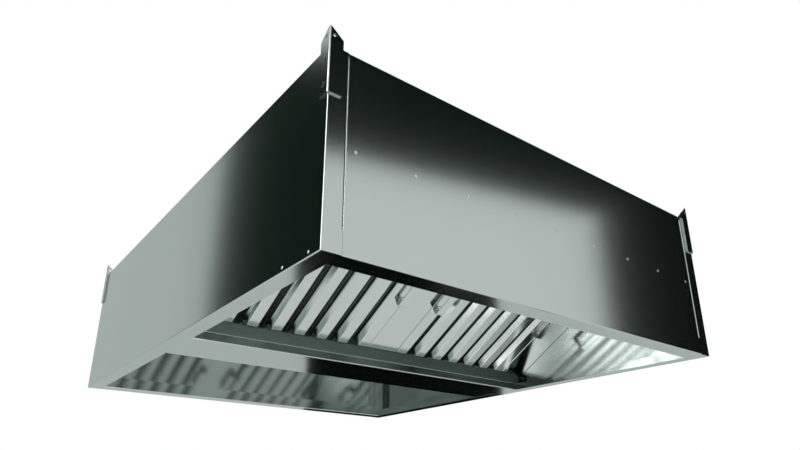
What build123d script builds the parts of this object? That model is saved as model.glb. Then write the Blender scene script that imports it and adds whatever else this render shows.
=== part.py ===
from build123d import *

import os
from math import asin, cos, sin

# All sizes are in millimetres. X runs along the short side and Y along the long side, with the front
# at minus Y and Z up. The origin is at the centre of the opening, on the rim's underside.

# Canopy box
hood_width = 1200.0
hood_depth = 1500.0
hood_height = 400.0
skin = 1.2
bend_radius = 2.4
side_return = 40.0
front_rim = 50.0
front_rim_lip = 36.0
side_rim_lip = 21.0
top_flange = 25.0
seam_gap = 0.5
seam_flange = 28.0
seam_flange_foot = 45.0
seam_flange_head_room = 10.0
seam_lap = 8.0
panel_gap = 0.2

# Stiffeners and rivets
stiffener_height = 198.5
stiffener_web = 44.0
stiffener_leg = 20.0
stiffener_end_gap = 6.0
rivet_row_inset = 21.5
rivets_each_side = 4
rivet_shank_radius = 2.0
rivet_head_radius = 3.0
rivet_crown_radius = 1.8
rivet_head_height = 0.9
rivet_tail_radius = 2.9
rivet_tail_height = 1.6
rivet_play = 0.05
side_rivet_height = 9.0
side_rivet_places = (39.0, 129.0)

# Hanger brackets and their bolts
hanger_leg = 30.0
hanger_thickness = 4.0
hanger_bend = 5.0
hanger_foot = 296.0
hanger_tip = 441.0
hanger_shoulder = 25.0
hanging_hole_radius = 3.5
hanging_hole_below_tip = 21.0
hanging_hole_inset = 11.0
hanger_bolt_inset = 14.0
hanger_bolt_heights = (317.0, 369.0)
bolt_radius = 3.0
bolt_hole_play = 0.3
bolt_head_radius = 5.6
bolt_head_below_flush = 0.1
bolt_head_play = 0.1
bolt_socket_across_flats = 4.0
bolt_socket_depth = 2.0
bolt_end = 3.0
nut_across_flats = 10.0
nut_height = 5.0
nut_play = 0.05

# Bridging pan and grease trough
pan_width = 190.0
trough_top = 54.0
trough_end_inset = 24.0
trough_corner_radius = 10.0
trough_bend = 1.4
hem_height = 6.0

# Filter bank
filter_head_room = 96.0
filter_width = 450.0
filter_length = 500.0
filter_thickness = 50.0
filter_lift = 20.0
filter_side_gap = 0.8
mullion_width = 100.0
cover_depth = 48.0
wall_overlap = 8.0
wall_gap = 0.5
seat_gap = 0.3
rest_reach = 30.0
rest_foot = 15.0
rest_slot_length = 40.0
rest_slot_height = 12.0
rest_slot_pitch = 120.0
rail_grip = 14.0
rail_back = 26.0
rail_play = 0.7
rail_bend = 1.2
cheek_flange = 22.0
cheek_overlap_gap = 4.0

# Cassette
filter_sheet = 1.2
frame_edge_radius = 1.5
end_lip = 11.0
back_lip = 15.0
baffle_pitch = 68.0
baffle_face = 29.0
baffle_base = 49.6
baffle_flank = 14.0
baffle_depth = 25.0
baffle_count = 5
baffle_bend = 2.0
border_lap = 8.0
rear_baffle_overlap = 5.5
rear_baffle_depth = 36.0

# Handles
handle_width = 25.0
handle_height = 25.0
handle_length = 100.0
handle_thickness = 2.0
handle_foot = 14.0
handle_bend = 4.0
handle_inset = 16.0

# Duct collar
collar_radius = 177.0
collar_height = 60.0
collar_flange = 24.0
collar_bend = 1.5
collar_rivet_count = 12
collar_rivet_inset = 14.0

# Places that follow from the sizes above
half_width = hood_width / 2
half_depth = hood_depth / 2
inner_half_width = half_width - skin
inner_half_depth = half_depth - skin
front_half = half_width - side_return - seam_gap
rivet_pitch = (front_half - rivet_row_inset) / rivets_each_side
top_panel_top = hood_height - skin
top_panel_bottom = top_panel_top - skin
bank_half = inner_half_width - panel_gap
trough_half = pan_width / 2
trough_half_length = half_width - trough_end_inset
trough_floor = side_rim_lip + skin
filter_centre = (mullion_width + filter_width) / 2 + filter_side_gap
rail_base = filter_length + filter_lift + seat_gap

# The banks slope so that their cassettes end at the head room below the hood's top.
filter_slope = asin((hood_height - trough_top - filter_head_room) / filter_length)
up_slope = Vector(0, -cos(filter_slope), sin(filter_slope))
outward = Vector(0, -sin(filter_slope), -cos(filter_slope))
wall_edge = Vector(0, -trough_half + 2 * skin, trough_top)
bank_origin = wall_edge - up_slope * wall_overlap - outward * wall_gap

# In the bank's frame X runs across, Y up the slope from the cassettes' lower ends and Z outwards from
# the cassettes' faces.
bank = Plane(origin=bank_origin, x_dir=(1, 0, 0), z_dir=outward)


def folded(points, thickness, side, radius):
    """Return the section of a sheet whose one face follows points, bent at each corner."""
    path = FilletPolyline(*points, radius=radius)
    return make_face(offset(path, amount=thickness, side=side, closed=True).edges())


def bank_point(slope, out):
    """Return the Y and Z of a point of the front bank, from its place up the slope and outwards."""
    point = bank_origin + up_slope * slope + outward * out
    return (point.Y, point.Z)


def on_back(piece):
    """Return the piece's twin on the back half, half a turn about the vertical axis."""
    return Rot(0, 0, 180) * piece


def at_corners(piece):
    """Return a front left piece and its mirror images at the other three corners, by name."""
    right = mirror(piece, about=Plane.YZ)
    return {
        "front_left": piece,
        "front_right": right,
        "back_left": mirror(piece, about=Plane.XZ),
        "back_right": mirror(right, about=Plane.XZ),
    }


def group(pieces):
    """Return separate solids as one compound."""
    return Compound(children=[solid for piece in pieces for solid in piece.solids()])


def save(name, shape):
    """Write one piece to its own file."""
    export_step(shape, f"parts/{name}.step")


def rivet(grip):
    """Return a rivet along Z, with its head on the plane Z = 0 and its tail below the sheets."""
    end = -grip - rivet_tail_height
    outline = Polyline(
        (0, rivet_head_height),
        (0, end),
        (rivet_tail_radius, end),
        (rivet_tail_radius, -grip),
        (rivet_shank_radius, -grip),
        (rivet_shank_radius, 0),
        (rivet_head_radius, 0),
        (rivet_crown_radius, rivet_head_height),
        close=True,
    )
    return revolve(Plane.XZ * make_face(outline.edges()), Axis.Z)


def rivet_hole(grip):
    """Return the cutter for a rivet through sheets of one total thickness below the plane Z = 0."""
    return Cylinder(rivet_shank_radius + rivet_play, 4 * grip)


def rivet_row():
    """Return the places of a row of rivets along X."""
    return [step * rivet_pitch for step in range(-rivets_each_side, rivets_each_side + 1)]


def front_rivet_spots():
    """Return the places of the rivet row on the front face."""
    return [Pos(place, -half_depth, stiffener_height) * Rot(90, 0, 0) for place in rivet_row()]


def side_rivet_spots():
    """Return the places of the rivet pair low on the left side, near the front."""
    turn = Rot(0, -90, 0)
    return [Pos(-half_width, place - half_depth, side_rivet_height) * turn for place in side_rivet_places]


def collar_rivet_spots():
    """Return the places of the collar's rivets, on the upper face of its flange."""
    ring = collar_radius + collar_rivet_inset
    step = 360 / collar_rivet_count
    return [Rot(0, 0, index * step) * Pos(ring, 0, hood_height) for index in range(collar_rivet_count)]


def cheek_rivet_spots():
    """Return the places of the rivets through the top panel and the flange of the front cheek."""
    across = cheek_web_place() - cheek_flange / 2
    return [Pos(place, across, top_panel_top) for place in rivet_row()]


def hanger_bolt_spots():
    """Return the places of the front left bracket's bolts, on the side panel's outer face."""
    across = -half_depth - hanger_thickness + hanger_bolt_inset
    return [Pos(-half_width, across, height) * Rot(0, -90, 0) for height in hanger_bolt_heights]


def seam_fold(edge):
    """Return the inward flange of a sheet on the front face that comes from minus X and ends at edge."""
    section = folded(
        [(edge - seam_lap, -half_depth), (edge, -half_depth), (edge, seam_flange - half_depth)],
        skin,
        Side.LEFT,
        bend_radius,
    )
    height = hood_height - seam_flange_head_room - seam_flange_foot
    return extrude(Pos(0, 0, seam_flange_foot) * section, amount=height)


def seam_notch(edge):
    """Return the cutter that clears a sheet's square end where its seam fold goes."""
    height = hood_height - seam_flange_head_room - seam_flange_foot
    block = Box(bend_radius, 4 * skin, height, align=(Align.MAX, Align.CENTER, Align.MIN))
    return Pos(edge, -half_depth, seam_flange_foot) * block


def left_side_panel():
    """Return the left wall, with its returns, rim and top flange folded up and welded at the corners."""
    block = Pos(side_return / 2 - half_width, 0, hood_height / 2) * Box(side_return, hood_depth, hood_height)
    outer_edges = block.edges().filter_by_position(Axis.X, -half_width - skin, -half_width + skin)
    block = fillet(outer_edges, bend_radius)
    panel = offset(block, amount=-skin, openings=block.faces().sort_by(Axis.X)[-1])
    spare = side_return - top_flange
    trim = Box(spare, 2 * inner_half_depth, 4 * skin)
    panel -= Pos(side_return - half_width - spare / 2, 0, hood_height) * trim
    lip = Box(skin, 2 * inner_half_depth, side_rim_lip)
    panel += Pos(side_return - half_width - skin / 2, 0, side_rim_lip / 2) * lip
    notch = seam_notch(side_return - half_width)
    panel -= notch
    panel -= mirror(notch, about=Plane.XZ)
    fold = seam_fold(side_return - half_width)
    panel += fold
    panel += mirror(fold, about=Plane.XZ)
    for spot in side_rivet_spots():
        panel -= spot * rivet_hole(skin)
    for spot in hanger_bolt_spots():
        hole = spot * Cylinder(bolt_radius + bolt_hole_play, 4 * skin)
        panel -= hole
        panel -= mirror(hole, about=Plane.XZ)
    return panel


def front_panel():
    """Return the front wall with its top flange, rim, upturned lip and seam folds."""
    section = folded(
        [
            (top_flange - half_depth, hood_height),
            (-half_depth, hood_height),
            (-half_depth, 0),
            (front_rim - half_depth, 0),
            (front_rim - half_depth, front_rim_lip),
        ],
        skin,
        Side.LEFT,
        bend_radius,
    )
    panel = extrude(Plane.YZ * section, amount=front_half, both=True)
    notch = seam_notch(front_half)
    panel -= notch
    panel -= mirror(notch, about=Plane.YZ)
    fold = seam_fold(front_half)
    panel += fold
    panel += mirror(fold, about=Plane.YZ)
    for spot in front_rivet_spots():
        panel -= spot * rivet_hole(2 * skin)
    return panel


def front_stiffener():
    """Return the channel that the rivet row holds against the inner face of the front panel."""
    low = stiffener_height - stiffener_web / 2
    high = stiffener_height + stiffener_web / 2
    section = folded(
        [
            (stiffener_leg - inner_half_depth, high),
            (-inner_half_depth, high),
            (-inner_half_depth, low),
            (stiffener_leg - inner_half_depth, low),
        ],
        skin,
        Side.LEFT,
        bend_radius,
    )
    channel = extrude(Plane.YZ * section, amount=front_half - stiffener_end_gap, both=True)
    for spot in front_rivet_spots():
        channel -= spot * rivet_hole(2 * skin)
    return channel


def top_panel():
    """Return the sheet under the top flanges, with the hole for the duct collar."""
    edge_room = bend_radius - skin + panel_gap
    sheet = Box(2 * (inner_half_width - edge_room), 2 * (inner_half_depth - edge_room), skin)
    sheet = Pos(0, 0, top_panel_top - skin / 2) * sheet
    sheet -= Pos(0, 0, top_panel_top) * Cylinder(collar_radius - skin, 4 * skin)
    for spot in collar_rivet_spots():
        sheet -= spot * rivet_hole(2 * skin)
    for spot in cheek_rivet_spots():
        sheet -= spot * rivet_hole(2 * skin)
        sheet -= on_back(spot * rivet_hole(2 * skin))
    return sheet


def duct_collar():
    """Return the round spigot with its flange on the top panel."""
    section = folded(
        [
            (collar_radius + collar_flange, hood_height),
            (collar_radius, hood_height),
            (collar_radius, hood_height + collar_height),
        ],
        skin,
        Side.LEFT,
        collar_bend,
    )
    collar = revolve(Plane.XZ * section, Axis.Z)
    for spot in collar_rivet_spots():
        collar -= spot * rivet_hole(2 * skin)
    return collar


def bridging_pan():
    """Return the pan that closes the middle of the opening, flush with the rim."""
    length = 2 * (half_width - side_return - panel_gap)
    block = Pos(0, 0, side_rim_lip / 2) * Box(length, pan_width, side_rim_lip)
    block = fillet(block.edges().group_by(Axis.Z)[0], bend_radius)
    return offset(block, amount=-skin, openings=block.faces().sort_by(Axis.Z)[-1])


def grease_trough():
    """Return the trough that lies on the lips of the pan and of the side rims."""
    section = folded(
        [
            (-trough_half, trough_top),
            (-trough_half, side_rim_lip),
            (trough_half, side_rim_lip),
            (trough_half, trough_top),
        ],
        skin,
        Side.LEFT,
        trough_bend,
    )
    for side in (-1, 1):
        place = Pos(side * (trough_half - 1.5 * skin), trough_top - hem_height / 2)
        section += place * Rectangle(skin, hem_height)
    channel = extrude(Plane.YZ * section, amount=trough_half_length, both=True)
    height = trough_top - side_rim_lip
    outline = Pos(0, side_rim_lip + height / 2) * Rectangle(2 * trough_half_length, height)
    outline = fillet(outline.vertices().group_by(Axis.Y)[-1], trough_corner_radius)
    channel &= extrude(Plane.XZ * outline, amount=pan_width, both=True)
    end_height = height - trough_corner_radius
    for side in (-1, 1):
        place = Pos(side * (trough_half_length - skin / 2), 0, side_rim_lip + end_height / 2)
        channel += place * Box(skin, pan_width - 2 * skin, end_height)
    return channel


def filter_rest():
    """Return the drained ledge in the trough on which the lower ends of the front filters stand."""
    toe = bank_point(-seat_gap, -bend_radius)
    section = folded(
        [
            bank_point(-seat_gap, -rest_reach),
            toe,
            (toe[0], trough_floor),
            (toe[0] + rest_foot, trough_floor),
        ],
        skin,
        Side.LEFT,
        bend_radius,
    )
    half_length = trough_half_length - skin - seat_gap
    ledge = extrude(Plane.YZ * section, amount=half_length, both=True)
    slot = Box(rest_slot_length, 4 * skin, rest_slot_height)
    slot_floor = trough_floor + bend_radius
    slots_each_side = int((half_length - rest_slot_length) // rest_slot_pitch)
    for step in range(-slots_each_side, slots_each_side + 1):
        ledge -= Pos(step * rest_slot_pitch, toe[0], slot_floor + rest_slot_height / 2) * slot
    return ledge


def filter_rail():
    """Return the deep channel that takes the upper ends of the front filters."""
    back = -filter_thickness - rail_play
    section = folded(
        [
            bank_point(filter_length - rail_grip, seat_gap),
            bank_point(rail_base, seat_gap),
            bank_point(rail_base, back),
            bank_point(rail_base - rail_back, back),
        ],
        skin,
        Side.LEFT,
        rail_bend,
    )
    return extrude(Plane.YZ * section, amount=bank_half, both=True)


def cheek_web_place():
    """Return the Y of the front cheek's inner face, just behind the rail."""
    return bank_point(rail_base + skin, -filter_thickness - rail_play - skin - bend_radius)[0]


def plenum_cheek():
    """Return the plate that closes the space between the front rail and the top panel."""
    heel = bank_point(rail_base + skin, -filter_thickness - rail_play - skin - bend_radius)
    section = folded(
        [
            bank_point(rail_base + skin, seat_gap + skin - cheek_overlap_gap),
            heel,
            (heel[0], top_panel_bottom),
            (heel[0] - cheek_flange, top_panel_bottom),
        ],
        skin,
        Side.LEFT,
        bend_radius,
    )
    cheek = extrude(Plane.YZ * section, amount=bank_half, both=True)
    for spot in cheek_rivet_spots():
        cheek -= spot * rivet_hole(2 * skin)
    return cheek


def filter_cover(left, right):
    """Return a channel in the bank's frame that covers it from left to right, flush with the filters."""
    section = folded(
        [(left, -cover_depth), (left, 0), (right, 0), (right, -cover_depth)],
        skin,
        Side.RIGHT,
        bend_radius,
    )
    return extrude(Plane.XZ * section, amount=rail_base - rail_bend, dir=(0, 1, 0))


def front_covers():
    """Return the mullion and the two side fillers of the front bank, by name."""
    filler_edge = filter_centre + filter_width / 2 + filter_side_gap
    return {
        "mullion": bank.location * filter_cover(-mullion_width / 2, mullion_width / 2),
        "left_filler": bank.location * filter_cover(-bank_half, -filler_edge),
        "right_filler": bank.location * filter_cover(filler_edge, bank_half),
    }


def border_edge():
    """Return how far the side border's inner edge is from the cassette's middle."""
    return (baffle_count + 1) / 2 * baffle_pitch - baffle_face / 2


def border_flank():
    """Return the folded edge of the right border, shaped as the flank of a baffle."""
    edge = border_edge()
    root = edge - (baffle_base - baffle_face) / 2
    section = folded(
        [(root, -baffle_depth), (root, -baffle_flank), (edge, 0), (edge + border_lap, 0)],
        filter_sheet,
        Side.RIGHT,
        baffle_bend,
    )
    flank = extrude(Plane.XZ * section, amount=filter_length - 2 * end_lip, dir=(0, 1, 0))
    return Pos(0, end_lip, 0) * flank


def cassette_frame():
    """Return a cassette's frame of folded channels, with its front and back windows."""
    middle = Pos(0, filter_length / 2, -filter_thickness / 2)
    frame = middle * fillet(Box(filter_width, filter_length, filter_thickness).edges(), frame_edge_radius)
    wall = 2 * filter_sheet
    frame -= middle * Box(filter_width - wall, filter_length - wall, filter_thickness - wall)
    window_width = 2 * border_edge() + border_lap
    window = Box(window_width, filter_length - 2 * end_lip, 4 * filter_sheet)
    frame -= Pos(0, filter_length / 2, 0) * window
    back_window = Box(filter_width - 2 * back_lip, filter_length - 2 * back_lip, 4 * filter_sheet)
    frame -= Pos(0, filter_length / 2, -filter_thickness) * back_window
    flank = border_flank()
    return frame + flank + mirror(flank, about=Plane.YZ)


def baffle_length():
    """Return the length of a baffle between the frame's end walls."""
    return filter_length - 2 * (filter_sheet + seat_gap)


def front_baffle():
    """Return a front baffle: a channel with sloping flanks, whose face ends at the frame's lips."""
    half_face = baffle_face / 2
    half_base = baffle_base / 2
    section = folded(
        [
            (-half_base, -baffle_depth),
            (-half_base, -baffle_flank),
            (-half_face, 0),
            (half_face, 0),
            (half_base, -baffle_flank),
            (half_base, -baffle_depth),
        ],
        filter_sheet,
        Side.RIGHT,
        baffle_bend,
    )
    channel = extrude(Plane.XZ * section, amount=baffle_length(), dir=(0, 1, 0))
    channel = Pos(0, filter_sheet + seat_gap, 0) * channel
    notch = Box(2 * baffle_base, 2 * (end_lip + seat_gap), 2 * baffle_flank)
    channel -= notch
    return channel - Pos(0, filter_length, 0) * notch


def rear_baffle():
    """Return a rear baffle: a channel behind a gap, whose legs reach in between the front baffles."""
    half = (baffle_pitch - baffle_face) / 2 + rear_baffle_overlap
    base = filter_sheet + seat_gap - filter_thickness
    tip = base + rear_baffle_depth
    section = folded(
        [(-half, tip), (-half, base), (half, base), (half, tip)], filter_sheet, Side.LEFT, baffle_bend
    )
    channel = extrude(Plane.XZ * section, amount=baffle_length(), dir=(0, 1, 0))
    return Pos(0, filter_sheet + seat_gap, 0) * channel


def handle():
    """Return a bow handle of flat strip, centred across on X = 0, with its feet turned inwards."""
    low = (filter_length - handle_length) / 2
    high = low + handle_length
    section = folded(
        [
            (low + handle_foot, 0),
            (low, 0),
            (low, handle_height),
            (high, handle_height),
            (high, 0),
            (high - handle_foot, 0),
        ],
        handle_thickness,
        Side.RIGHT,
        handle_bend,
    )
    return extrude(Plane.YZ * section, amount=handle_width / 2, both=True)


def cassette():
    """Return the pieces of one filter cassette in the bank's frame, centred on X = 0, by name."""
    middle = (baffle_count - 1) / 2
    front_places = [(index - middle) * baffle_pitch for index in range(baffle_count)]
    rear_places = [(index - middle - 0.5) * baffle_pitch for index in range(baffle_count + 1)]
    blade = front_baffle()
    trough_blade = rear_baffle()
    bow = handle()
    grip_place = filter_width / 2 - handle_inset
    return {
        "frame": cassette_frame(),
        "front_baffles": group([Pos(place, 0, 0) * blade for place in front_places]),
        "rear_baffles": group([Pos(place, 0, 0) * trough_blade for place in rear_places]),
        "handles": group([Pos(side * grip_place, 0, 0) * bow for side in (-1, 1)]),
    }


def hanger():
    """Return the front left hanger bracket: an angle round the corner, with a pointed top."""
    corner_x = -half_width - hanger_thickness
    corner_y = -half_depth - hanger_thickness
    section = folded(
        [(corner_x + hanger_leg, corner_y), (corner_x, corner_y), (corner_x, corner_y + hanger_leg)],
        hanger_thickness,
        Side.RIGHT,
        hanger_bend,
    )
    angle = extrude(Pos(0, 0, hanger_foot) * section, amount=hanger_tip - hanger_foot)
    shoulder = hanger_tip - hanger_shoulder
    above = hanger_tip + 1
    side_cut = Polygon(
        (corner_y, hanger_tip),
        (corner_y + hanger_leg, shoulder),
        (corner_y + hanger_leg + 1, above),
        (corner_y, above),
        align=None,
    )
    front_cut = Polygon(
        (corner_x, hanger_tip),
        (corner_x + hanger_leg, shoulder),
        (corner_x + hanger_leg + 1, above),
        (corner_x, above),
        align=None,
    )
    angle -= Pos(-half_width, 0, 0) * extrude(Plane.YZ * side_cut, amount=-2 * hanger_thickness)
    angle -= Pos(0, -half_depth, 0) * extrude(Plane.XZ * front_cut, amount=2 * hanger_thickness)
    hanging_hole = Cylinder(hanging_hole_radius, 4 * hanger_thickness)
    height = hanger_tip - hanging_hole_below_tip
    angle -= Pos(corner_x, corner_y + hanging_hole_inset, height) * Rot(0, 90, 0) * hanging_hole
    angle -= Pos(corner_x + hanging_hole_inset, corner_y, height) * Rot(90, 0, 0) * hanging_hole
    for spot in hanger_bolt_spots():
        angle -= spot * Cylinder(bolt_radius + bolt_hole_play, 4 * hanger_thickness)
        angle -= spot * countersink(bolt_head_radius + bolt_head_play)
    return angle


def countersink(radius):
    """Return a square-angled cone that is radius wide at the bracket's outer face, with its tip below."""
    outline = Polyline((0, hanger_thickness), (radius, hanger_thickness), (0, hanger_thickness - radius), close=True)
    return revolve(Plane.XZ * make_face(outline.edges()), Axis.Z)


def hanger_bolt():
    """Return a countersunk socket bolt along Z, from the side panel's outer face at Z = 0."""
    head = Pos(0, 0, -bolt_head_below_flush) * countersink(bolt_head_radius)
    head_top = hanger_thickness - bolt_head_below_flush
    low = -skin - nut_height - bolt_end
    shank = Cylinder(bolt_radius, head_top - low, align=(Align.CENTER, Align.CENTER, Align.MIN))
    bolt = head + Pos(0, 0, low) * shank
    hexagon = RegularPolygon(bolt_socket_across_flats / 2, 6, major_radius=False)
    return bolt - Pos(0, 0, head_top) * extrude(hexagon, amount=-bolt_socket_depth)


def hanger_nut():
    """Return the nut of a hanger bolt, against the side panel's inner face."""
    blank = RegularPolygon(nut_across_flats / 2, 6, major_radius=False) - Circle(bolt_radius + nut_play)
    return Pos(0, 0, -skin) * extrude(blank, amount=-nut_height)


def build():
    """Write every piece of the hood."""
    left = left_side_panel()
    save("left_side_panel", left)
    save("right_side_panel", mirror(left, about=Plane.YZ))
    save("top_panel", top_panel())
    save("duct_collar", duct_collar())
    save("bridging_pan", bridging_pan())
    save("grease_trough", grease_trough())

    halves = {
        "panel": front_panel(),
        "stiffener": front_stiffener(),
        "stiffener_rivets": group([spot * rivet(2 * skin) for spot in front_rivet_spots()]),
        "filter_rest": filter_rest(),
        "filter_rail": filter_rail(),
        "plenum_cheek": plenum_cheek(),
        "cheek_rivets": group([spot * rivet(2 * skin) for spot in cheek_rivet_spots()]),
        "mullion": front_covers()["mullion"],
    }
    for name, piece in halves.items():
        save(f"front_{name}", piece)
        save(f"back_{name}", on_back(piece))

    covers = front_covers()
    save("front_left_filler", covers["left_filler"])
    save("front_right_filler", covers["right_filler"])
    save("back_left_filler", on_back(covers["right_filler"]))
    save("back_right_filler", on_back(covers["left_filler"]))

    for name, piece in cassette().items():
        left_one = bank.location * Pos(-filter_centre, 0, 0) * piece
        right_one = bank.location * Pos(filter_centre, 0, 0) * piece
        save(f"front_left_filter_{name}", left_one)
        save(f"front_right_filter_{name}", right_one)
        save(f"back_left_filter_{name}", on_back(right_one))
        save(f"back_right_filter_{name}", on_back(left_one))

    for corner, piece in at_corners(hanger()).items():
        save(f"{corner}_hanger", piece)
    bolts = [spot * hanger_bolt() for spot in hanger_bolt_spots()]
    nuts = [spot * hanger_nut() for spot in hanger_bolt_spots()]
    save("hanger_bolts", group([piece for bolt in bolts for piece in at_corners(bolt).values()]))
    save("hanger_nuts", group([piece for nut in nuts for piece in at_corners(nut).values()]))

    save("collar_rivets", group([spot * rivet(2 * skin) for spot in collar_rivet_spots()]))
    side_rivets = [spot * rivet(skin) for spot in side_rivet_spots()]
    save("side_rivets", group(side_rivets + [mirror(piece, about=Plane.YZ) for piece in side_rivets]))


os.makedirs("parts", exist_ok=True)
build()
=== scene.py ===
"""Looks of a hanging canopy exhaust hood with baffle filter cassettes, dressed over its CAD frame."""

import logging
import math
from dataclasses import dataclass, field
from enum import Enum

import bmesh
import bpy
from mathutils import Matrix, Vector


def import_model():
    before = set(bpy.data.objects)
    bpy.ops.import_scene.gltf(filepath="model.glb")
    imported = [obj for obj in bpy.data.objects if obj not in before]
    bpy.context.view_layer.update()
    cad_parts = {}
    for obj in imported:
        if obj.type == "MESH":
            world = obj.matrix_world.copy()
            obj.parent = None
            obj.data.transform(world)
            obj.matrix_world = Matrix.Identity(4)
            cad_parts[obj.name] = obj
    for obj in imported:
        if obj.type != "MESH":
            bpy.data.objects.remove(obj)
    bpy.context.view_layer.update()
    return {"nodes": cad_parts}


LOG = logging.getLogger("hood_looks")
IMAGE_WIDTH = 800
WHITE = (1.0, 1.0, 1.0, 1.0)
BLACK = (0.0, 0.0, 0.0, 1.0)
GRAIN_OCTAVES = 3.0
GRAIN_HARSHNESS = 0.65
GRAIN_HEIGHT = 0.0004
MARK_OCTAVES = 1.0
MARK_FADE = 0.4

Rgb = tuple[float, float, float]
Point = tuple[float, float, float]
Mesh = bpy.types.Object


class Rolling(Enum):
    """Direction in which a sheet's brushed grain runs, as turns of the grain's own X onto the sheet."""

    ACROSS_HOOD = (0.0, 0.0, 0.0)
    ALONG_HOOD = (0.0, 0.0, 90.0)
    UPRIGHT = (0.0, 90.0, 0.0)
    UP_FRONT_SLOPE = (30.0, 0.0, 90.0)
    UP_BACK_SLOPE = (-30.0, 0.0, 90.0)

    def turn(self) -> tuple[float, ...]:
        """Returns the turn as angles in radians for a Mapping node."""
        return tuple(math.radians(angle) for angle in self.value)


# Shared shader node groups


class NodeGroupBuilder:
    """Makes one shader node group with named inputs and outputs."""

    def __init__(self, name: str) -> None:
        """Starts an empty group.

        Args:
            name: name of the group.
        """
        self.tree = bpy.data.node_groups.new(name, "ShaderNodeTree")
        self.inlet = self.tree.nodes.new("NodeGroupInput")
        self.outlet = self.tree.nodes.new("NodeGroupOutput")

    def add_input(self, name: str, kind: str, default: float | None = None) -> None:
        """Adds a named input.

        Args:
            name: name of the socket.
            kind: socket type, such as NodeSocketFloat.
            default: value that the socket has until it is set.
        """
        socket = self.tree.interface.new_socket(name, in_out="INPUT", socket_type=kind)
        if default is not None:
            socket.default_value = default

    def add_output(self, name: str, kind: str) -> None:
        """Adds a named output of the given socket type."""
        self.tree.interface.new_socket(name, in_out="OUTPUT", socket_type=kind)

    def node(self, kind: str, **values: object) -> bpy.types.Node:
        """Adds a node and sets its properties.

        Args:
            kind: the node's type.
            values: properties of the node.

        Returns:
            The new node.
        """
        made = self.tree.nodes.new(kind)
        for key, value in values.items():
            setattr(made, key, value)
        return made

    def link(self, start: bpy.types.NodeSocket, end: bpy.types.NodeSocket) -> None:
        """Joins two sockets."""
        self.tree.links.new(start, end)


def brushed_grain_group() -> bpy.types.NodeTree:
    """Makes the group of fine parallel scratches that rolling and brushing leave.

    Returns:
        A group with a streak value between 0 and 1 and a normal.
    """
    build = NodeGroupBuilder("brushed_grain")
    build.add_input("Vector", "NodeSocketVector")
    build.add_input("Fineness", "NodeSocketFloat", 900.0)
    build.add_input("Length ratio", "NodeSocketFloat", 0.012)
    build.add_input("Depth", "NodeSocketFloat", 0.2)
    build.add_output("Streak", "NodeSocketFloat")
    build.add_output("Normal", "NodeSocketVector")
    stretch = build.node("ShaderNodeCombineXYZ")
    stretch.inputs["Y"].default_value = 1.0
    stretch.inputs["Z"].default_value = 1.0
    build.link(build.inlet.outputs["Length ratio"], stretch.inputs["X"])
    squeezed = build.node("ShaderNodeVectorMath", operation="MULTIPLY")
    build.link(build.inlet.outputs["Vector"], squeezed.inputs[0])
    build.link(stretch.outputs["Vector"], squeezed.inputs[1])
    scratches = build.node("ShaderNodeTexNoise")
    scratches.inputs["Detail"].default_value = GRAIN_OCTAVES
    scratches.inputs["Roughness"].default_value = GRAIN_HARSHNESS
    build.link(squeezed.outputs["Vector"], scratches.inputs["Vector"])
    build.link(build.inlet.outputs["Fineness"], scratches.inputs["Scale"])
    bump = build.node("ShaderNodeBump")
    bump.inputs["Distance"].default_value = GRAIN_HEIGHT
    build.link(build.inlet.outputs["Depth"], bump.inputs["Strength"])
    build.link(scratches.outputs["Fac"], bump.inputs["Height"])
    build.link(scratches.outputs["Fac"], build.outlet.inputs["Streak"])
    build.link(bump.outputs["Normal"], build.outlet.inputs["Normal"])
    return build.tree


def handling_marks_group() -> bpy.types.NodeTree:
    """Makes the group of faint wiped patches and finger marks on handled sheet.

    Returns:
        A group with a mask that is 1 inside a mark.
    """
    build = NodeGroupBuilder("handling_marks")
    build.add_input("Vector", "NodeSocketVector")
    build.add_input("Scale", "NodeSocketFloat", 2.2)
    build.add_input("Cover", "NodeSocketFloat", 0.45)
    build.add_output("Mask", "NodeSocketFloat")
    patches = build.node("ShaderNodeTexNoise")
    patches.inputs["Detail"].default_value = MARK_OCTAVES
    build.link(build.inlet.outputs["Vector"], patches.inputs["Vector"])
    build.link(build.inlet.outputs["Scale"], patches.inputs["Scale"])
    edge = build.node("ShaderNodeMath", operation="SUBTRACT")
    edge.inputs[0].default_value = 1.0
    build.link(build.inlet.outputs["Cover"], edge.inputs[1])
    soft = build.node("ShaderNodeMath", operation="ADD")
    soft.inputs[1].default_value = MARK_FADE
    build.link(edge.outputs["Value"], soft.inputs[0])
    fade = build.node("ShaderNodeMapRange", interpolation_type="SMOOTHSTEP")
    build.link(patches.outputs["Fac"], fade.inputs["Value"])
    build.link(edge.outputs["Value"], fade.inputs["From Min"])
    build.link(soft.outputs["Value"], fade.inputs["From Max"])
    build.link(fade.outputs["Result"], build.outlet.inputs["Mask"])
    return build.tree


# Finishes


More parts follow.
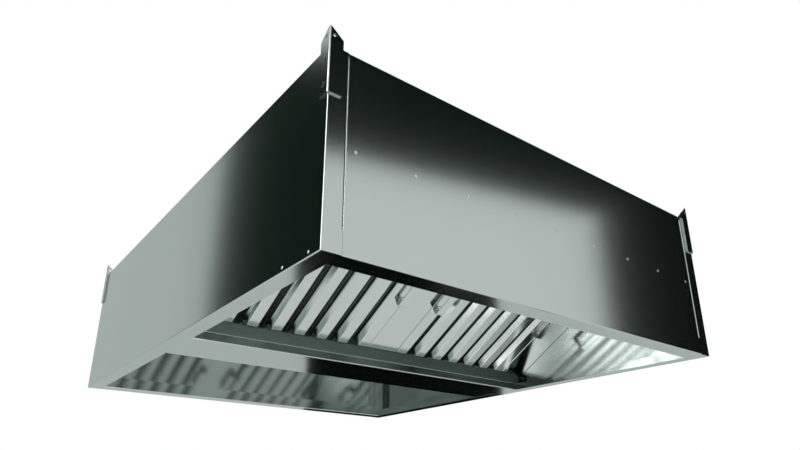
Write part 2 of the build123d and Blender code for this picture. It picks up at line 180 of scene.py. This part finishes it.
@dataclass(frozen=True)
class Steel:
    """One finish of bare steel sheet.

    Attributes:
        name: name of the finish.
        colour: colour of the clean metal.
        roughness: gloss of the clean metal.
        grain_depth: strength of the brushed grain.
        grain_fineness: scratches per metre.
        marks: how readily wiped patches show, from 0 to 1.
        mark_gloss: roughness that a patch adds.
        tone_spread: share by which the colour rises and falls among the scratches.
        edge_tint: colour that dims what it mirrors at a grazing angle.
    """

    name: str
    colour: Rgb
    roughness: float
    grain_depth: float
    grain_fineness: float = 900.0
    marks: float = 0.45
    mark_gloss: float = 0.02
    tone_spread: float = 0.04
    edge_tint: Rgb = (0.58, 0.63, 0.61)

    def material(self, rolling: Rolling) -> bpy.types.Material:
        """Makes the material for one direction of the grain, or finds it if it is there.

        Args:
            rolling: direction of the grain.

        Returns:
            The material.
        """
        name = f"{self.name}_{rolling.name.lower()}"
        found = bpy.data.materials.get(name)
        if found:
            return found
        made = bpy.data.materials.new(name)
        made.use_nodes = True
        nodes = made.node_tree.nodes
        links = made.node_tree.links
        shader = nodes["Principled BSDF"]
        shader.inputs["Metallic"].default_value = 1.0
        shader.inputs["Specular Tint"].default_value = (*self.edge_tint, 1.0)
        place = nodes.new("ShaderNodeTexCoord")
        turn = nodes.new("ShaderNodeMapping")
        turn.inputs["Rotation"].default_value = rolling.turn()
        links.new(place.outputs["Object"], turn.inputs["Vector"])

        grain = nodes.new("ShaderNodeGroup")
        grain.node_tree = bpy.data.node_groups["brushed_grain"]
        grain.inputs["Fineness"].default_value = self.grain_fineness
        grain.inputs["Depth"].default_value = self.grain_depth
        links.new(turn.outputs["Vector"], grain.inputs["Vector"])

        marks = nodes.new("ShaderNodeGroup")
        marks.node_tree = bpy.data.node_groups["handling_marks"]
        marks.inputs["Cover"].default_value = self.marks
        links.new(place.outputs["Object"], marks.inputs["Vector"])

        tone = nodes.new("ShaderNodeMix")
        tone.data_type = "RGBA"
        tone.inputs["A"].default_value = (*(c * (1 - self.tone_spread) for c in self.colour), 1.0)
        tone.inputs["B"].default_value = (*(min(1.0, c * (1 + self.tone_spread)) for c in self.colour), 1.0)
        links.new(grain.outputs["Streak"], tone.inputs["Factor"])
        links.new(tone.outputs["Result"], shader.inputs["Base Color"])

        gloss = nodes.new("ShaderNodeMapRange")
        gloss.inputs["To Min"].default_value = self.roughness
        gloss.inputs["To Max"].default_value = self.roughness + self.mark_gloss
        links.new(marks.outputs["Mask"], gloss.inputs["Value"])
        links.new(gloss.outputs["Result"], shader.inputs["Roughness"])
        links.new(grain.outputs["Normal"], shader.inputs["Normal"])
        return made


PANEL_STEEL = Steel("panel_steel", (0.45, 0.50, 0.481), 0.11, 0.03)
FILTER_STEEL = Steel("filter_steel", (0.46, 0.51, 0.492), 0.16, 0.05)
# The rear baffles' copy of the filter steel: its rougher gloss catches the light from below, and its darker
# colour is painted shade for the rear baffles deep in the cassette.
REAR_BAFFLE_PAINTED_SHADE_STEEL = Steel("rear_baffle_painted_shade_steel", (0.42, 0.47, 0.45), 0.40, 0.05)
HANDLE_STEEL = Steel("handle_steel", (0.46, 0.51, 0.49), 0.16, 0.04)
BRACKET_STEEL = Steel("bracket_steel", (0.44, 0.485, 0.467), 0.11, 0.03)
# Near-black colour for the hanger bolts and nuts, far darker than the other steel: painted shade.
BOLT_PAINTED_SHADE_STEEL = Steel("bolt_painted_shade_steel", (0.20, 0.23, 0.215), 0.24, 0.03)
RIVET_STEEL = Steel("rivet_steel", (0.60, 0.64, 0.62), 0.34, 0.03)
TROUGH_STEEL = Steel("trough_steel", (0.45, 0.54, 0.515), 0.27, 0.12)
TOP_STEEL = Steel("top_steel", (0.46, 0.495, 0.48), 0.30, 0.10)


def dress(node: Mesh, finish: Steel, rolling: Rolling) -> None:
    """Gives a CAD node its finish.

    Args:
        node: the node's object.
        finish: the steel that it is made of.
        rolling: direction of its grain.
    """
    material = finish.material(rolling)
    node.data.materials.clear()
    node.data.materials.append(material)
    LOG.info("%s: %s", node.name, material.name)


# Studio

GREEN_GREY: Rgb = (0.50, 1.0, 0.75)
DAYLIGHT: Rgb = (1.0, 0.90, 0.94)


@dataclass(frozen=True)
class Card:
    """An upright card in the studio, which shows only as a reflection in the steel.

    Attributes:
        name: name of the card.
        heading: direction of its foot point from the hood, as a turn from +Y towards +X in degrees.
        across: places of its two sides, in metres to the right of the foot point as the hood sees it.
        heights: levels of its lower and upper edge, in metres.
        glow: how light it is, where the white room is 1.
        distance: distance of its foot point from the hood's centre, in metres.
        tint: its colour.
    """

    name: str
    heading: float
    across: tuple[float, float]
    heights: tuple[float, float]
    glow: float
    distance: float = 12.0
    tint: Rgb = GREEN_GREY

    def build(self) -> None:
        """Builds the card, which faces the hood."""
        left, right = self.across
        low, high = self.heights
        width = right - left
        height = high - low
        middle = Vector(((left + right) / 2, self.distance, (low + high) / 2))
        shape = bmesh.new()
        bmesh.ops.create_grid(shape, x_segments=1, y_segments=1, size=0.5)
        bmesh.ops.scale(shape, vec=(width, height, 1.0), verts=shape.verts)
        stand = Matrix.Rotation(math.radians(90), 4, "X")
        turn = Matrix.Rotation(math.radians(-self.heading), 4, "Z")
        bmesh.ops.transform(shape, matrix=turn @ Matrix.Translation(middle) @ stand, verts=shape.verts)
        mesh = bpy.data.meshes.new(self.name)
        shape.to_mesh(mesh)
        shape.free()
        card = bpy.data.objects.new(self.name, mesh)
        bpy.context.scene.collection.objects.link(card)
        mesh.materials.append(self.material())
        card.visible_camera = False
        card.visible_diffuse = False
        card.visible_shadow = False
        card.visible_transmission = False

    def material(self) -> bpy.types.Material:
        """Makes the card's even glow.

        Returns:
            The material.
        """
        made = bpy.data.materials.new(self.name)
        made.use_nodes = True
        shader = made.node_tree.nodes["Principled BSDF"]
        shader.inputs["Base Color"].default_value = BLACK
        shader.inputs["Specular IOR Level"].default_value = 0.0
        shader.inputs["Emission Color"].default_value = (*self.tint, 1.0)
        shader.inputs["Emission Strength"].default_value = self.glow
        return made


@dataclass(frozen=True)
class Softbox:
    """One soft lamp.

    Attributes:
        name: name of the lamp.
        centre: its middle, in metres.
        size: its width and height.
        watts: its power.
        target: the point at which it aims.
    """

    name: str
    centre: Point
    size: tuple[float, float]
    watts: float
    target: Point = (0.0, 0.0, 0.2)

    def build(self) -> None:
        """Builds the lamp, aimed at its target in the middle of the hood."""
        lamp = bpy.data.lights.new(self.name, "AREA")
        lamp.shape = "RECTANGLE"
        lamp.size, lamp.size_y = self.size
        lamp.energy = self.watts
        holder = bpy.data.objects.new(self.name, lamp)
        holder.location = self.centre
        aim = Vector(self.target) - Vector(self.centre)
        holder.rotation_euler = aim.to_track_quat("-Z", "Y").to_euler()
        bpy.context.scene.collection.objects.link(holder)


@dataclass(frozen=True)
class ViewPoint:
    """Where the camera stands, in metres and degrees, and its lens in pixels of the image.

    Attributes:
        place: place of the lens.
        heading: turn from +Y towards +X.
        pitch: tilt above the horizon.
        focal_pixels: focal length.
        rise_pixels: upward shift of the lens.
        nearest: distance from which the camera sees things.
    """

    place: Point = (-1.058, -1.547, -0.383)
    heading: float = 37.7
    pitch: float = 20.5
    focal_pixels: float = 629.0
    rise_pixels: float = 50.0
    nearest: float = 0.05

    def build(self) -> None:
        """Builds the camera and makes it the scene's own."""
        lens = bpy.data.cameras.new("camera")
        lens.lens = self.focal_pixels / IMAGE_WIDTH * lens.sensor_width
        lens.shift_y = self.rise_pixels / IMAGE_WIDTH
        lens.clip_start = self.nearest
        camera = bpy.data.objects.new("camera", lens)
        camera.location = self.place
        camera.rotation_euler = (math.radians(90 + self.pitch), 0.0, math.radians(-self.heading))
        bpy.context.scene.collection.objects.link(camera)
        bpy.context.scene.camera = camera


@dataclass
class Studio:
    """White room round the hood: floor, world, lamp and cards.

    Attributes:
        floor_level: height of the floor.
        floor_radius: reach of the floor.
        floor_colour: how pale the floor is.
        floor_roughness: how matt the floor is.
        floor_fade: shares of the reach between which the floor melts into the room.
        floor_sides: straight sides of the floor's outline.
        ambient: light of the room on matt things.
        cards: dark cards, and the windows, which glow.
        lamps: soft lamps.
        viewpoint: where the camera stands.
    """

    floor_level: float = -2.0
    floor_radius: float = 14.0
    floor_colour: float = 0.86
    floor_roughness: float = 0.9
    floor_fade: tuple[float, float] = (0.1, 0.5)
    floor_sides: int = 96
    ambient: float = 0.85
    cards: tuple[Card, ...] = (
        Card("card_over_front", 168.0, (-18.0, 9.0), (7.48, 24.0), 0.011),
        Card("card_right_of_front", 105.0, (-7.0, 4.56), (-1.0, 22.0), 0.007),
        Card("card_left_of_back", -45.0, (-9.0, 4.86), (-1.0, 10.9), 0.018),
        Card("card_under_back", 38.0, (-2.05, 2.3), (-5.2, -0.3), 0.004),
        Card("card_under_corner", 38.0, (-2.4, 1.0), (-9.8, -4.2), 0.004, 11.8),
        Card("card_under_left", -30.0, (-1.4, 1.4), (-10.6, -7.2), 0.01),
        Card("card_under_right", 80.0, (-9.0, 9.0), (-11.35, -10.2), 0.01),
        Card("window_left", -90.0, (-1.3, 1.5), (-9.5, -5.7), 9.5, tint=DAYLIGHT),
        Card("window_below", -90.0, (-0.15, 0.2), (-1.3, -0.66), 3.0, 0.3, DAYLIGHT),
        Card("window_behind", 253.0, (-1.8, 1.8), (2.6, 9.5), 10.0, tint=DAYLIGHT),
    )
    lamps: tuple[Softbox, ...] = (Softbox("softbox_above", (-1.0, -1.0, 4.0), (3.0, 3.0), 60.0),)
    viewpoint: ViewPoint = field(default_factory=ViewPoint)

    def build(self) -> None:
        """Builds everything that isn't part of the hood."""
        self.build_floor()
        self.build_world()
        for card in self.cards:
            card.build()
        for lamp in self.lamps:
            lamp.build()
        self.viewpoint.build()
        bpy.context.scene.view_settings.view_transform = "Standard"

    def build_floor(self) -> None:
        """Builds the pale floor, which melts into the white room towards its rim."""
        shape = bmesh.new()
        bmesh.ops.create_circle(shape, cap_ends=True, segments=self.floor_sides, radius=self.floor_radius)
        bmesh.ops.translate(shape, vec=(0.0, 0.0, self.floor_level), verts=shape.verts)
        mesh = bpy.data.meshes.new("floor")
        shape.to_mesh(mesh)
        shape.free()
        floor = bpy.data.objects.new("floor", mesh)
        bpy.context.scene.collection.objects.link(floor)
        mesh.materials.append(self.floor_material())
        floor.visible_glossy = False

    def floor_material(self) -> bpy.types.Material:
        """Makes the floor's pale, shadow-catching finish.

        Returns:
            The material.
        """
        made = bpy.data.materials.new("floor")
        made.use_nodes = True
        nodes = made.node_tree.nodes
        links = made.node_tree.links
        pale = nodes["Principled BSDF"]
        pale.inputs["Base Color"].default_value = (*[self.floor_colour] * 3, 1.0)
        pale.inputs["Roughness"].default_value = self.floor_roughness
        pale.inputs["Specular IOR Level"].default_value = 0.0
        white = nodes.new("ShaderNodeEmission")
        place = nodes.new("ShaderNodeTexCoord")
        flat = nodes.new("ShaderNodeVectorMath")
        flat.operation = "MULTIPLY"
        flat.inputs[1].default_value = (1.0, 1.0, 0.0)
        reach = nodes.new("ShaderNodeVectorMath")
        reach.operation = "LENGTH"
        fade = nodes.new("ShaderNodeMapRange")
        fade.interpolation_type = "SMOOTHSTEP"
        fade.inputs["From Min"].default_value = self.floor_radius * self.floor_fade[0]
        fade.inputs["From Max"].default_value = self.floor_radius * self.floor_fade[1]
        mix = nodes.new("ShaderNodeMixShader")
        links.new(place.outputs["Object"], flat.inputs[0])
        links.new(flat.outputs["Vector"], reach.inputs[0])
        links.new(reach.outputs["Value"], fade.inputs["Value"])
        links.new(fade.outputs["Result"], mix.inputs["Fac"])
        links.new(pale.outputs["BSDF"], mix.inputs[1])
        links.new(white.outputs["Emission"], mix.inputs[2])
        links.new(mix.outputs["Shader"], nodes["Material Output"].inputs["Surface"])
        return made

    def build_world(self) -> None:
        """Builds the world: white where it is seen or mirrored, and a plain level of light."""
        world = bpy.data.worlds.new("white_room")
        bpy.context.scene.world = world
        world.use_nodes = True
        nodes = world.node_tree.nodes
        links = world.node_tree.links
        ground = nodes["Background"]
        ground.inputs["Color"].default_value = WHITE
        path = nodes.new("ShaderNodeLightPath")
        seen = nodes.new("ShaderNodeMath")
        seen.operation = "MAXIMUM"
        links.new(path.outputs["Is Camera Ray"], seen.inputs[0])
        links.new(path.outputs["Is Glossy Ray"], seen.inputs[1])
        shown = nodes.new("ShaderNodeMath")
        shown.operation = "MAXIMUM"
        links.new(seen.outputs["Value"], shown.inputs[0])
        links.new(path.outputs["Is Transmission Ray"], shown.inputs[1])
        strength = nodes.new("ShaderNodeMapRange")
        strength.inputs["To Min"].default_value = self.ambient
        strength.inputs["To Max"].default_value = 1.0
        links.new(shown.outputs["Value"], strength.inputs["Value"])
        links.new(strength.outputs["Result"], ground.inputs["Strength"])


# The hood


@dataclass
class Shell:
    """The folded box: side, front, back and top panels, with stiffeners, pan, trough and duct collar."""

    nodes: dict[str, Mesh]
    along: tuple[str, ...] = ("left_side_panel", "right_side_panel")
    across: tuple[str, ...] = (
        "front_panel",
        "back_panel",
        "front_stiffener",
        "back_stiffener",
        "bridging_pan",
        "front_filter_rest",
        "back_filter_rest",
        "front_filter_rail",
        "back_filter_rail",
        "front_plenum_cheek",
        "back_plenum_cheek",
    )
    overhead: tuple[str, ...] = ("top_panel", "duct_collar")

    def finish(self) -> None:
        """Dresses every sheet of the box."""
        for name in self.along:
            dress(self.nodes[name], PANEL_STEEL, Rolling.ALONG_HOOD)
        for name in self.across:
            dress(self.nodes[name], PANEL_STEEL, Rolling.ACROSS_HOOD)
        dress(self.nodes["grease_trough"], TROUGH_STEEL, Rolling.ACROSS_HOOD)
        for name in self.overhead:
            dress(self.nodes[name], TOP_STEEL, Rolling.ACROSS_HOOD)


@dataclass
class FilterBanks:
    """The cassettes of both banks, with their handles, fillers and mullions."""

    nodes: dict[str, Mesh]
    sides: tuple[str, ...] = ("front", "back")
    hands: tuple[str, ...] = ("left", "right")

    def finish(self) -> None:
        """Dresses both banks."""
        for side in self.sides:
            slope = Rolling.UP_FRONT_SLOPE if side == "front" else Rolling.UP_BACK_SLOPE
            dress(self.nodes[f"{side}_mullion"], PANEL_STEEL, slope)
            for hand in self.hands:
                dress(self.nodes[f"{side}_{hand}_filler"], PANEL_STEEL, slope)
                cassette = f"{side}_{hand}_filter"
                dress(self.nodes[f"{cassette}_frame"], FILTER_STEEL, slope)
                dress(self.nodes[f"{cassette}_front_baffles"], FILTER_STEEL, slope)
                # Rear baffles: the filter steel with painted shade, a darker colour than the front baffles
                # have.
                dress(self.nodes[f"{cassette}_rear_baffles"], REAR_BAFFLE_PAINTED_SHADE_STEEL, slope)
                dress(self.nodes[f"{cassette}_handles"], HANDLE_STEEL, slope)


@dataclass
class Fixings:
    """Hanger brackets and every bolt, nut and rivet."""

    nodes: dict[str, Mesh]

    def finish(self) -> None:
        """Dresses the brackets and fasteners."""
        for name, node in self.nodes.items():
            if name.endswith("_hanger"):
                dress(node, BRACKET_STEEL, Rolling.UPRIGHT)
            elif name in ("hanger_bolts", "hanger_nuts"):
                # Hanger bolts and nuts take the near-black steel, whose dark colour is painted shade.
                dress(node, BOLT_PAINTED_SHADE_STEEL, Rolling.UPRIGHT)
            elif name.endswith("rivets"):
                dress(node, RIVET_STEEL, Rolling.UPRIGHT)


def main() -> None:
    """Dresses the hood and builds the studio."""
    logging.basicConfig(level=logging.INFO, format="%(name)s %(message)s")
    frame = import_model()
    nodes = frame["nodes"]
    brushed_grain_group()
    handling_marks_group()
    Shell(nodes).finish()
    FilterBanks(nodes).finish()
    Fixings(nodes).finish()
    Studio().build()


if __name__ == "__main__":
    main()
